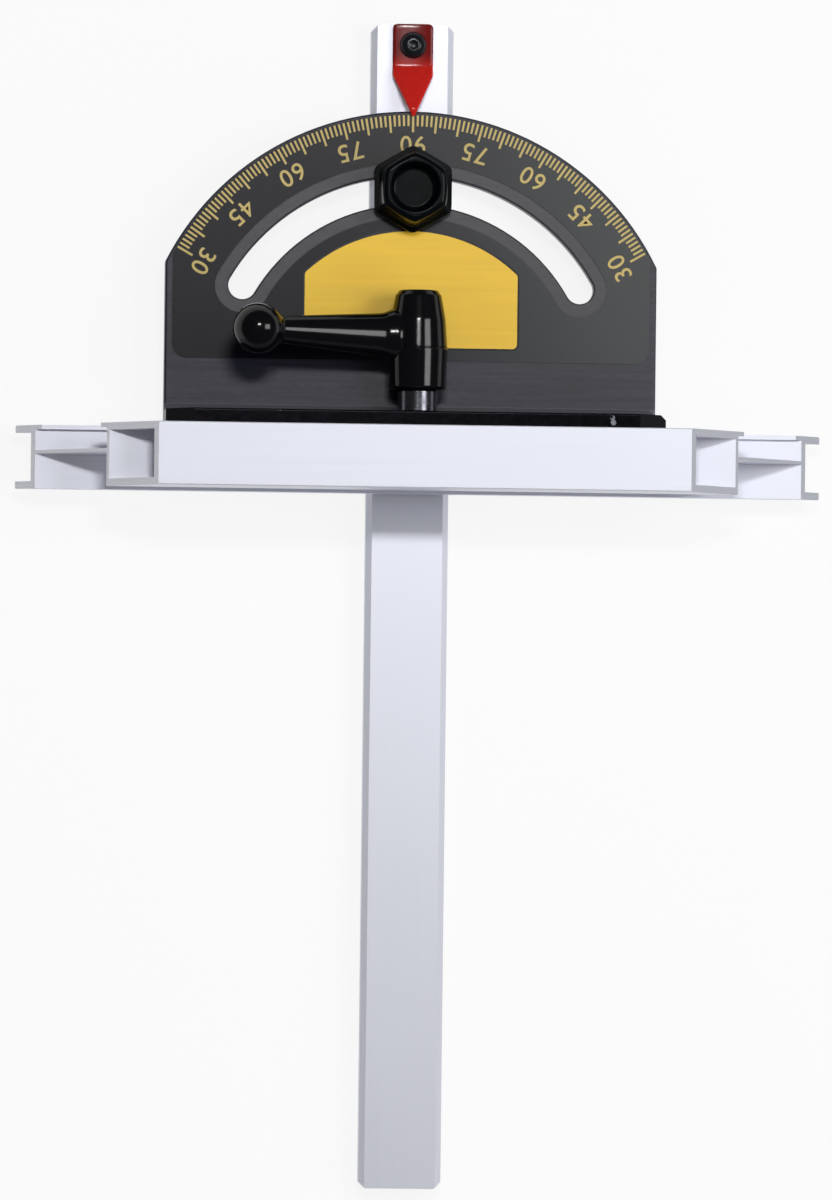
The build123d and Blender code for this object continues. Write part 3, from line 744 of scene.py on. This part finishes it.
@dataclass
class AngleScale:
    """Printed scale on the head, in degrees with a longer tick at every fifth."""

    level: float = 17.7
    ink: float = 0.04
    limit: int = 60
    square: int = 90
    major_step: int = 5
    number_step: int = 15
    outer: float = 98.6
    minor_inner: float = 94.6
    major_inner: float = 92.4
    minor_width: float = 0.74
    major_width: float = 0.80
    number_radius: float = 87.8
    number_height: float = 6.5
    number_weight: float = 0.006
    number_smoothness: int = 6
    letter_space: float = 1.12

    @staticmethod
    def directions(degree: Array | float) -> tuple[Array, Array]:
        """The radial direction and the one across it, clockwise, at places on the scale."""
        angle = np.radians(degree)
        sine, cosine = np.sin(angle), np.cos(angle)
        return np.stack((sine, cosine), axis=-1), np.stack((cosine, -sine), axis=-1)

    def ticks(self, degree: Array, inner: float, width: float) -> Shell:
        """Thin boxes on the radii.

        Args:
            degree: their places on the scale, clockwise from the middle.
            inner: the distance of their inner ends from the pivot.
            width: their width.

        Returns:
            The surface of all the boxes.
        """
        radial, across = self.directions(degree)
        half = width / 2
        sides = ((inner, -half), (inner, half), (self.outer, half), (self.outer, -half))
        plan = [r * radial + w * across for r, w in sides]
        levels = (self.level, self.level + self.ink)
        points = np.stack([lifted(p, z) for z in levels for p in plan], axis=1)
        box = np.array(
            [(0, 3, 2, 1), (4, 5, 6, 7), (0, 1, 5, 4), (1, 2, 6, 5), (2, 3, 7, 6), (3, 0, 4, 7)]
        )
        faces = (np.arange(len(degree))[:, None, None] * points.shape[1] + box).reshape(-1, 4)
        return Shell(points.reshape(-1, 3), faces.tolist())

    def number(self, text: str, degree: float) -> Shell:
        """Makes one number, with its top towards the pivot.

        Its flat outline comes from Blender's own font and is scaled to the number's height. A point
        is the number's middle minus the radial direction times its height and minus the direction
        across times its place along the line of writing.

        Args:
            text: the digits.
            degree: the number's place on the scale, clockwise from the middle.

        Returns:
            The number's surface.
        """
        curve = bpy.data.curves.new("number", "FONT")
        curve.body = text
        curve.size = 1.0
        curve.extrude = self.ink / 2
        curve.offset = self.number_weight
        curve.space_character = self.letter_space
        curve.resolution_u = self.number_smoothness
        holder = bpy.data.objects.new("number", curve)
        bpy.context.scene.collection.objects.link(holder)
        mesh = bpy.data.meshes.new_from_object(holder)
        flat = np.empty(len(mesh.vertices) * 3)
        mesh.vertices.foreach_get("co", flat)
        flat = flat.reshape(-1, 3)
        faces = [tuple(p.vertices) for p in mesh.polygons]
        bpy.data.objects.remove(holder)
        bpy.data.curves.remove(curve)
        bpy.data.meshes.remove(mesh)
        low, high = flat.min(axis=0), flat.max(axis=0)
        local = (flat - (low + high) / 2) * (self.number_height / (high[1] - low[1]))
        radial, across = self.directions(degree)
        plan = radial * self.number_radius - local[:, 1:2] * radial - local[:, :1] * across
        height = np.where(flat[:, 2] > 0, self.level + self.ink, self.level)
        return Shell(np.column_stack((plan, height)), faces)

    def build(self) -> None:
        """Puts the ticks and the numbers on the head."""
        ink = SCALE_INK.material()
        degrees = np.arange(-self.limit, self.limit + 1)
        major = degrees % self.major_step == 0
        minor_ticks = self.ticks(degrees[~major], self.minor_inner, self.minor_width)
        major_ticks = self.ticks(degrees[major], self.major_inner, self.major_width)
        fit(put("scale_ticks", join([minor_ticks, major_ticks])), ink, "head")
        places = range(-self.limit, self.limit + 1, self.number_step)
        numbers = join([self.number(str(self.square - abs(d)), d) for d in places])
        fit(put("scale_numbers", numbers), ink, "head")


@dataclass
class QuadrantHead:
    """Cast quadrant with its foils, its scale and the pivot's fittings."""

    print_level: float = 17.7
    print_height: float = 0.03
    panel_radius: float = 56.2
    panel_half_width: float = 39.0
    panel_front: float = 13.5
    panel_corner: float = 1.8
    arc_points: int = 49
    corner_points: int = 6
    line_inner: float = -0.1
    line_outer: float = 0.55

    def panel_edge(self, grow: float) -> Array:
        """The yellow panel's plan: an arc about the pivot cut off by two sides and a front.

        Args:
            grow: how far outside the panel the line runs.

        Returns:
            The points of the closed line.
        """
        radius = self.panel_radius + grow
        half = self.panel_half_width + grow
        front = self.panel_front - grow
        start = math.acos(half / radius)
        turn = np.linspace(start, math.pi - start, self.arc_points)
        arc = radius * np.column_stack((np.cos(turn), np.sin(turn)))
        corners = np.concatenate((np.array([(-half, front), (half, front)]), arc))
        radii = np.zeros(len(corners))
        radii[[0, 1, 2, -1]] = self.panel_corner + grow
        return rounded(corners, radii, self.corner_points, closed=True)

    def panel_line(self) -> Shell:
        """The thin black line printed round the yellow panel."""
        inner, outer = (self.panel_edge(grow) for grow in (self.line_inner, self.line_outer))
        low, high = self.print_level, self.print_level + self.print_height
        rows = ((inner, low), (inner, high), (outer, high), (outer, low))
        return grid(np.stack([lifted(plan, level) for plan, level in rows]), loop_rows=True)

    def build(self) -> None:
        """Dresses the head's solids and prints the scale."""
        for node, finish in (
            ("quadrant_head", CASTING_FINISH),
            ("scale_decal", CHARCOAL_FOIL),
            ("yellow_panel", YELLOW_FOIL),
            ("pivot_bush", BRONZE),
            ("pivot_washer", NYLON),
            ("pivot_screw", BLACK_STEEL),
        ):
            dress(node, finish.material())
        fit(put("panel_line", self.panel_line()), PRINT_BLACK.material(), "head")
        AngleScale().build()


@dataclass
class SwivelClamp:
    """Stud, washer and hexagonal knob that clamp the head to the bar."""

    y: float = 71.2
    bottom: float = 19.1
    seat_radius: float = 9.4
    seat_height: float = 1.2
    foot_flats: float = 28.4
    foot_height: float = 5.6
    foot_slope: float = 2.0
    grip_flats: float = 24.6
    top_flats: float = 23.4
    height: float = 18.4
    recess_radius: float = 8.8
    recess_depth: float = 8.0
    insert_radius: float = 6.23
    insert_flange_radius: float = 7.43
    insert_flange: float = 1.23
    recess_wall: float = 1.55
    recess_foot: float = 8.1
    sharpness: float = 22.0
    columns: int = 144
    corner_points: int = 5

    def knob(self) -> Shell:
        """The knob's profile, turned about the stud, with round rows below and in the recess."""
        foot = self.bottom + self.seat_height
        ledge = self.bottom + self.foot_height
        top = self.bottom + self.height
        floor = top - self.recess_depth
        flange = self.bottom + self.insert_flange
        rows = np.array(
            [
                # distance, place, rounding, share of the hexagon
                (self.insert_flange_radius, self.bottom, 0.0, 0.0),
                (self.seat_radius, self.bottom, 0.3, 0.0),
                (self.seat_radius, foot, 0.3, 0.0),
                (self.foot_flats / 2, foot, 0.5, 1.0),
                (self.foot_flats / 2, ledge - self.foot_slope, 0.9, 1.0),
                (self.grip_flats / 2 + 0.1, ledge, 0.5, 0.95),
                (self.top_flats / 2, top, 1.9, 0.7),
                (self.recess_radius + 0.4, top, 0.5, 0.0),
                (self.recess_radius, top - 0.9, 0.4, 0.0),
                (self.recess_foot, floor, 1.6, 0.0),
                (0.0, floor, 0.0, 0.0),
                (0.0, floor - self.recess_wall, 0.0, 0.0),
                (self.insert_radius, floor - self.recess_wall, 0.0, 0.0),
                (self.insert_radius, flange, 0.0, 0.0),
                (self.insert_flange_radius, flange, 0.0, 0.0),
            ]
        )
        profile = rounded(rows[:, :2], rows[:, 2], self.corner_points, closed=True)
        share = np.repeat(rows[:, 3], len(profile) // len(rows))
        stand = Stand((0.0, self.y, 0.0), *UPRIGHT)
        return grid(turned(stand, profile, share, self.columns, self.sharpness), loop_rows=True)

    def build(self) -> None:
        """Makes the knob and dresses the fittings round it."""
        knob = put("knob_grip", self.knob())
        fit(knob, KNOB_BLACK.material(), "knob", ("clamp_knob",))
        dress("knob_insert", COLLAR_STEEL.material())
        dress("clamp_stud", BRIGHT_STEEL.material())
        dress("clamp_washer", BLACK_STEEL.material())


@dataclass
class Pointer:
    """Red pointer, bent up from the bar to the scale, and its button-headed screw."""

    rear: float = 132.4
    fold: float = 116.3
    shoulder: float = 113.4
    flat: float = 100.8
    tip: float = 98.2
    low: float = 10.0
    high: float = 18.1
    thickness: float = 2.2
    half_width: float = 7.4
    tip_half_width: float = 0.5
    corner: float = 1.5
    edge: float = 1.0
    bend: float = 5.0
    screw_y: float = 124.6
    screw_radius: float = 4.9
    screw_height: float = 2.8
    screw_columns: int = 72
    dome: Span = (0.08, 1.08)
    dome_points: int = 14
    socket_flats: float = 3.0
    socket_depth: float = 1.6
    socket_sharpness: float = 60.0

    def blade(self) -> Shell:
        """A soft-edged oblong section carried along the pointer's bent line.

        At a place along the bar the section's half width is the straight half width, less the
        rounding of the rear corners, and falls evenly to the tip's from the shoulder on. A point is
        the centre of a corner's arc plus the arc's radius in the corner's direction. The sections
        stand closer at the rear corners and at the fold.
        """
        places = (self.rear, self.fold, self.flat, self.tip)
        corners = np.column_stack((places, (self.low, self.low, self.high, self.high)))
        radii = np.array((0.0, self.bend, self.bend / 2, 0.0))
        line = rounded(corners, radii, 7, closed=False)
        rear = self.rear - self.corner * (1 - np.cos(np.linspace(0.0, math.pi / 2, 7)))
        level = np.linspace(self.rear - 2, self.fold + 1.5, 8)
        folded = np.linspace(self.fold + 1.4, self.fold - 1.6, 13)
        falling = np.linspace(self.fold - 2, self.tip, 40)
        y = np.concatenate((rear, level, folded, falling))
        base = np.interp(y, line[::-1, 0], line[::-1, 1])
        cut = np.maximum(self.corner - (self.rear - y), 0.0)
        lost = self.corner - np.sqrt(np.maximum(self.corner**2 - cut**2, 0.0))
        taper = np.interp(y, (self.tip, self.shoulder), (self.tip_half_width, self.half_width))
        half = np.minimum(self.half_width - lost, taper)
        deep = np.interp(y, (self.tip, self.flat), (self.thickness / 2, self.thickness))
        edge = np.minimum(self.edge, np.minimum(half, deep / 2) * 0.95)
        turn = np.linspace(0.0, math.pi / 2, 5)
        angle = np.concatenate([turn + quarter * math.pi / 2 for quarter in range(4)])
        sign_x = np.repeat((1.0, -1.0, -1.0, 1.0), len(turn))
        sign_z = np.repeat((1.0, 1.0, -1.0, -1.0), len(turn))
        x = (half - edge)[:, None] * sign_x + edge[:, None] * np.cos(angle)
        z = (deep / 2 - edge)[:, None] * sign_z + edge[:, None] * np.sin(angle)
        z += (base + deep / 2)[:, None]
        return tube(np.stack((x, np.repeat(y[:, None], len(angle), axis=1), z), axis=-1))

    def screw_head(self) -> Shell:
        """A domed head turned about the screw's axis, with a hexagonal socket.

        The dome is part of an ellipse. Its distance is the cosine of an angle times the head's
        radius, and its height the sine times the head's height, over the sine of the last angle.
        """
        seat = self.low + self.thickness
        top = seat + self.screw_height
        angle = np.linspace(*self.dome, self.dome_points)
        height = self.screw_height * np.sin(angle) / math.sin(self.dome[1])
        dome = np.column_stack((self.screw_radius * np.cos(angle), seat + height))
        socket = self.socket_flats / 2
        below = np.array(
            [(0.0, seat), (self.screw_radius - 0.3, seat), (self.screw_radius, seat + 0.15)]
        )
        inside = np.array(
            [
                (socket + 0.25, top - 0.02),
                (socket, top - 0.25),
                (socket, top - self.socket_depth),
                (0.0, top - self.socket_depth - 0.5),
            ]
        )
        profile = np.concatenate((below, dome, inside))
        share = np.repeat((0.0, 1.0), (len(below) + len(dome), len(inside)))
        stand = Stand((0.0, self.screw_y, 0.0), *UPRIGHT)
        return grid(turned(stand, profile, share, self.screw_columns, self.socket_sharpness))

    def build(self) -> None:
        """Makes the pointer and its screw."""
        blade = put("pointer_blade", self.blade())
        fit(blade, POINTER_RED.material(), "bar", ("pointer",))
        screw = put("pointer_screw_head", self.screw_head(), smooth_below=30.0)
        fit(screw, BLACK_STEEL.material(), "bar", ("pointer_screw",))


@dataclass
class ClampLever:
    """Ratchet lever on the fence's stud: turned hub, tapering arm and ball in one casting.

    The rise is the arm's slope in degrees. spring_keep, the share of its length that the
    spring keeps when the lever is pulled, is not used.
    """

    x: float = 2.0
    z: float = 30.35
    foot_y: float = -2.6
    end_y: float = 33.8
    ring_y: float = 12.6
    foot_radius: float = 10.4
    waist_radius: float = 10.9
    shoulder_radius: float = 10.0
    end_radius: float = 8.2
    bore_radius: float = 6.7
    web_start: float = 8.4
    web_end: float = 11.4
    web_bore: float = 2.8
    pocket_radius: float = 5.1
    arm_y: float = 16.8
    ball_y: float = 18.1
    length: float = 62.2
    rise: float = 18.0
    ball_radius: float = 9.25
    root_half_width: float = 9.1
    root_half_height: float = 6.0
    tip_half: float = 4.3
    flare: float = 1.5
    flare_place: float = 9.2
    flare_length: float = 3.2
    merge_power: float = 7.0
    hub_columns: int = 128
    corner_points: int = 6
    arm_start: float = 4.0
    arm_rings: int = 56
    arm_columns: int = 56
    ball_start: float = -1.2
    ball_rings: int = 34
    spring_radius: float = 3.8
    spring_wire: float = 0.4
    spring_turns: int = 4
    spring_seat: float = 19.4
    spring_fit: float = 0.05
    spring_keep: float = 0.43
    spring_rings: int = 28
    spring_columns: int = 12

    def stand(self) -> Stand:
        """The stud's axis."""
        return Stand((self.x, 0.0, self.z), *ALONG_BAR)

    def hub(self) -> Shell:
        """The hub's wall as a closed profile turned about the stud's axis."""
        shoulder_y = (self.ring_y + self.end_y) / 2
        rows = np.array(
            [
                # distance, place, rounding
                (self.bore_radius, self.foot_y, 0.3),
                (self.foot_radius, self.foot_y, 1.3),
                (self.waist_radius, self.ring_y - 0.3, 0.25),
                (self.waist_radius - 0.4, self.ring_y, 0.1),
                (self.waist_radius - 0.4, self.ring_y + 0.25, 0.1),
                (self.waist_radius - 0.2, self.ring_y + 0.5, 0.2),
                (self.shoulder_radius, shoulder_y, 12.0),
                (self.end_radius + 0.2, self.end_y - 1.9, 1.5),
                (self.end_radius - 1.2, self.end_y, 1.0),
                (self.pocket_radius, self.end_y, 0.5),
                (self.pocket_radius, self.web_end, 0.2),
                (self.web_bore, self.web_end, 0.1),
                (self.web_bore, self.web_start, 0.1),
                (self.bore_radius, self.web_start, 0.2),
            ]
        )
        profile = rounded(rows[:, :2], rows[:, 2], self.corner_points, closed=True)
        wall = turned(self.stand(), profile, np.zeros(len(profile)), self.hub_columns)
        return grid(wall, loop_rows=True)

    def arm(self) -> Shell:
        """Arm and ball as one tube of elliptical rings.

        A ring's half width is the arm's, falling evenly to the tip's, plus a bell curve at the root
        for the fillet into the hub. It is merged with the ball's own half width, which is the root
        of the ball's radius squared less the distance from its middle squared: each goes to a
        power, and the sum to one over that power. Past the ball's middle the ball counts alone.
        """
        slope = math.radians(self.rise)
        left, up = math.cos(slope) * self.length, math.sin(slope) * self.length
        reach = np.array((-left, self.ball_y - self.arm_y, up))
        length = float(np.linalg.norm(reach))
        along = reach / length
        side = np.array((0.0, 1.0, 0.0)) - along[1] * along
        side /= np.linalg.norm(side)
        ball_turn = np.linspace(self.ball_start, math.pi / 2, self.ball_rings)
        on_ball = length + self.ball_radius * np.sin(ball_turn)
        on_arm = np.linspace(self.arm_start, on_ball[0] - 0.3, self.arm_rings)
        place = np.concatenate((on_arm, on_ball[:-1]))
        share = np.clip(place / length, 0.0, 1.0)
        bell = self.flare * np.exp(-(((place - self.flare_place) / self.flare_length) ** 2))
        ball = np.sqrt(np.maximum(self.ball_radius**2 - (place - length) ** 2, 0.0))
        before = (place <= length).astype(float)
        halves = []
        for root in (self.root_half_width, self.root_half_height):
            taper = (root + (self.tip_half - root) * share + bell) * before
            merged = taper**self.merge_power + ball**self.merge_power
            halves.append(merged ** (1 / self.merge_power))
        angle = np.arange(self.arm_columns) * 2 * math.pi / self.arm_columns
        stand = Stand((self.x, self.arm_y, self.z), tuple(along), tuple(side))
        rings = stand.set_out(
            np.repeat(place[:, None], len(angle), axis=1),
            halves[0][:, None] * np.cos(angle),
            halves[1][:, None] * np.sin(angle),
        )
        far = (length + self.ball_radius, 0.0, 0.0)
        end = stand.set_out(*(np.full((1, len(angle)), distance) for distance in far))
        return tube(np.concatenate((rings, end)))

    def coil(self) -> Shell:
        """The spring's wire, as rings along a screw line about the stud's axis.

        A ring's point is at the spring's radius plus the wire's times the cosine of its angle, and
        along the axis at the screw line's place plus the wire's radius times the sine.
        """
        inset = self.spring_wire + self.spring_fit
        rings = self.spring_rings * self.spring_turns
        turn = np.linspace(0.0, 2 * math.pi * self.spring_turns, rings)[:, None]
        place = np.linspace(self.web_end + inset, self.spring_seat - inset, rings)[:, None]
        angle = np.arange(self.spring_columns)[None, :] * 2 * math.pi / self.spring_columns
        radius = self.spring_radius + self.spring_wire * np.cos(angle)
        along = place + self.spring_wire * np.sin(angle)
        return tube(self.stand().set_out(along, radius * np.cos(turn), radius * np.sin(turn)))

    def build(self) -> None:
        """Makes the handle and the spring, and dresses what is inside and under them."""
        handle = put("lever_casting", join([self.hub(), self.arm()]))
        fit(handle, GLOSS_BLACK.material(), "lever", ("lever_handle",))
        spring = put("spring_coil", self.coil())
        fit(spring, BRIGHT_STEEL.material(), "lever_core", ("lever_spring",))
        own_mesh(spring)
        dress("lever_insert", COLLAR_STEEL.material())
        dress("lever_screw", BLACK_STEEL.material())
        dress("lever_stud", BRIGHT_STEEL.material())
        dress("slot_nut", BRIGHT_STEEL.material())


# Surroundings


@dataclass(frozen=True)
class Lamp:
    """An oblong lamp that faces the head, with its width level, laid out in metres."""

    name: str
    place: Triple
    watts: float
    size: Span
    mirrored: bool = True
    aim: Triple = (0.0, 0.0, 0.02)

    def build(self) -> None:
        """Puts up the lamp, which shows in reflections only if it is mirrored."""
        light = bpy.data.lights.new(self.name, "AREA")
        light.energy = self.watts
        light.shape = "RECTANGLE"
        light.size, light.size_y = self.size
        holder = bpy.data.objects.new(self.name, light)
        back = (Vector(self.place) - Vector(self.aim)).normalized()
        right = Vector((0.0, 1.0, 0.0)).cross(back).normalized()
        turn = Matrix((right, back.cross(right), back)).transposed().to_4x4()
        holder.matrix_world = Matrix.Translation(self.place) @ turn
        holder.visible_glossy = self.mirrored
        bpy.context.scene.collection.objects.link(holder)


@dataclass
class Studio:
    """Pale floor, plain lamps and the even light of the room."""

    floor_rings: tuple[float, ...] = (0.0, 0.5, 2.0, 8.0, 27.0, 30.0)
    rim_height: float = 3.0
    floor_columns: int = 96
    floor_tone: float = 0.86
    floor_roughness: float = 0.9
    white_share: float = 0.86
    room: float = 0.06
    key: Lamp = Lamp("key", (-0.01, 0.41, 1.53), 6.8, (0.30, 0.12))
    side: Lamp = Lamp("side", (0.60, 0.10, 0.85), 3.2, (0.40, 0.34))
    fills: tuple[Lamp, ...] = (
        Lamp("sky", (0.0, 0.2, 2.3), 10.0, (3.0, 3.0), mirrored=False),
        Lamp("fill_left", (-1.1, -0.35, 0.75), 2.4, (0.8, 0.8), mirrored=False),
        Lamp("fill_right", (1.2, -0.5, 0.7), 5.2, (0.8, 0.8), mirrored=False),
        Lamp("fill_front", (0.2, -1.4, 0.4), 2.0, (0.8, 0.8), mirrored=False),
    )

    def floor(self) -> None:
        """A disc that turns up at its far rim, nearly white to the camera and in reflections."""
        profile = lifted(np.array(self.floor_rings)[:, None], 0.0)
        profile[-1, 1] = self.rim_height
        stand = Stand((0.0, 0.0, 0.0), *UPRIGHT)
        disc = turned(stand, profile / MM, np.zeros(len(profile)), self.floor_columns)
        piece = put("studio_floor", grid(disc))
        graph = Graph("studio_floor")
        graph.feed(graph.shader, "Base Color", (self.floor_tone,) * 3)
        graph.feed(graph.shader, "Roughness", self.floor_roughness)
        path = graph.add("ShaderNodeLightPath")
        seen = Signal(graph, path.outputs["Is Camera Ray"])
        seen = seen.most(Signal(graph, path.outputs["Is Glossy Ray"]))
        seen = seen.most(Signal(graph, path.outputs["Is Transmission Ray"]))
        white = graph.add("ShaderNodeEmission", values={"Color": (1.0, 1.0, 1.0), "Strength": 1.0})
        values = {0: seen * self.white_share, 1: graph.shader.outputs[0], 2: white.outputs[0]}
        mixed = graph.add("ShaderNodeMixShader", values=values)
        graph.feed(graph.output, "Surface", mixed.outputs[0])
        piece.data.materials.append(graph.material)

    def build(self) -> None:
        """Sets up the floor, the lamps and the room's light."""
        self.floor()
        for lamp in (self.key, self.side, *self.fills):
            lamp.build()
        world = bpy.data.worlds.new("room")
        world.use_nodes = True
        background = world.node_tree.nodes["Background"]
        background.inputs["Color"].default_value = (1.0, 1.0, 1.0, 1.0)
        background.inputs["Strength"].default_value = self.room
        bpy.context.scene.world = world
        bpy.context.scene.view_settings.view_transform = "Standard"


@dataclass
class Viewpoint:
    """Camera that looks down on the gauge, leaning a little to the left and to the front.

    Its distance is in metres, its target in millimetres and its frame in pixels.
    """

    distance: float = 6.0
    lean_right: float = -3.269
    lean_rear: float = -2.355
    roll: float = -0.668
    target: Triple = (3.103, -78.48, 17.4)
    pixels_per_mm: float = 2.7424
    frame_height: float = 1200.0
    sensor: float = 36.0
    far: float = 100.0

    def build(self) -> None:
        """Makes the camera, whose lens gives the target's scale in the whole frame."""
        x, y = (math.sin(math.radians(lean)) for lean in (self.lean_right, self.lean_rear))
        back = Vector((x, y, math.sqrt(1 - x**2 - y**2)))
        roll = math.radians(self.roll)
        right = Vector((math.sin(roll), math.cos(roll), 0.0)).cross(back).normalized()
        up = back.cross(right)
        camera = bpy.data.cameras.new("camera")
        camera.sensor_width = self.sensor
        seen = self.frame_height / self.pixels_per_mm * MM
        camera.lens = self.sensor * self.distance / seen
        camera.clip_end = self.far
        holder = bpy.data.objects.new("camera", camera)
        turn = Matrix((right, up, back)).transposed().to_4x4()
        place = Vector(self.target) * MM + back * self.distance
        holder.matrix_world = Matrix.Translation(place) @ turn
        bpy.context.scene.collection.objects.link(holder)
        bpy.context.scene.camera = holder


def main() -> None:
    """Builds the scene in order."""
    logging.basicConfig(level=logging.INFO, format="%(name)s: %(message)s")
    Viewpoint().build()
    Studio().build()
    dress("guide_bar", BAR_FINISH.material())
    dress("fence_extrusion", FENCE_FINISH.material())
    QuadrantHead().build()
    SwivelClamp().build()
    Pointer().build()
    ClampLever().build()
    bpy.context.view_layer.update()


if __name__ == "__main__":
    main()
